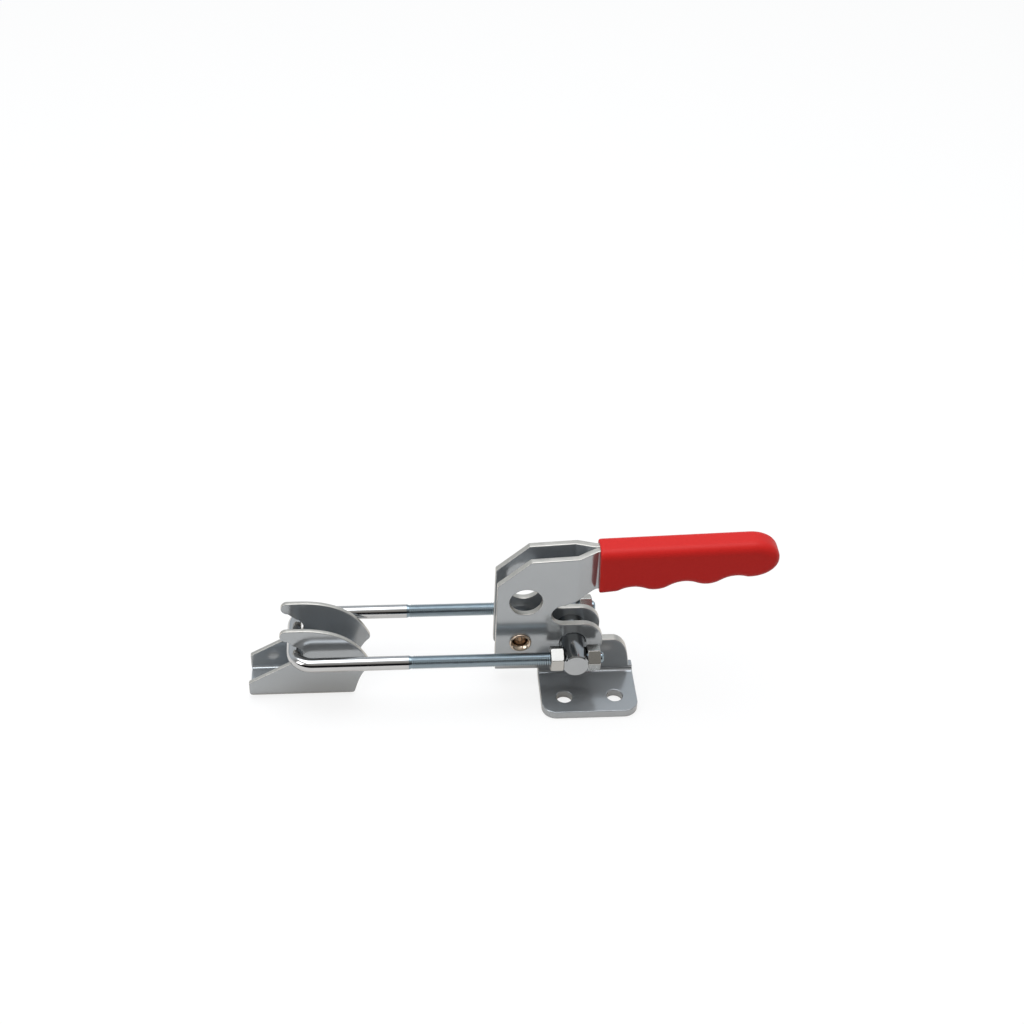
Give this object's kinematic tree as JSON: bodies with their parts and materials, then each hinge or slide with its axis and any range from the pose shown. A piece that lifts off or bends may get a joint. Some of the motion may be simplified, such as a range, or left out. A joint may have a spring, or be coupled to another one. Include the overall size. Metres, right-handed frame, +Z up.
{
  "type": "over centre toggle latch",
  "caption": "Over centre toggle latch: a handle with a grip pivots in a base bracket and pulls a bent, threaded hook bolt tight in the throat of a separate keeper channel.",
  "frame": {"origin": "midway between the two base holes, on the underside of the base flange", "axes": "+X along the latch from the keeper towards the grip, +Z up from the mounting surface, +Y from the flange towards the handle"},
  "size_m": [0.2316, 0.0503, 0.0792],
  "materials": {
    "sheet": "bright zinc plated sheet",
    "rod": "polished zinc plated rod",
    "nut": "zinc plated",
    "washer": "plain",
    "bush": "turned",
    "rivet": "copper tinted ring",
    "grip": "soft satin gloss red"
  },
  "bodies": {
    "base": {"base_bracket": "sheet", "keeper": "sheet"},
    "handle": {"handle_plate_near": "sheet", "handle_plate_far": "sheet", "handle_grip": "grip", "pivot_rivet": "rivet", "pivot_bush": "bush", "pivot_washer_near": "washer", "pivot_washer_far": "washer"},
    "hook": {"hook_bolt": "rod", "trunnion": "rod", "front_nut_near": "nut", "front_nut_far": "nut", "rear_nut_near": "nut", "rear_nut_far": "nut"}
  },
  "joints": [
    {"name": "handle_hinge", "type": "hinge", "parent": "base", "child": "handle", "pos_m": [-0.031, 0.0186, 0.0271], "axis": [0, -1, 0], "range_deg": [0, 105]},
    {"name": "hook_swing", "type": "hinge", "parent": "handle", "child": "hook", "pos_m": [-0.00763, 0.0186, 0.02596], "axis": [0, -1, 0], "range_deg": [-88, 0]}
  ],
  "couplings": [
    {"joint": "hook_swing", "follows": "handle_hinge", "ratio": -0.83}
  ]
}
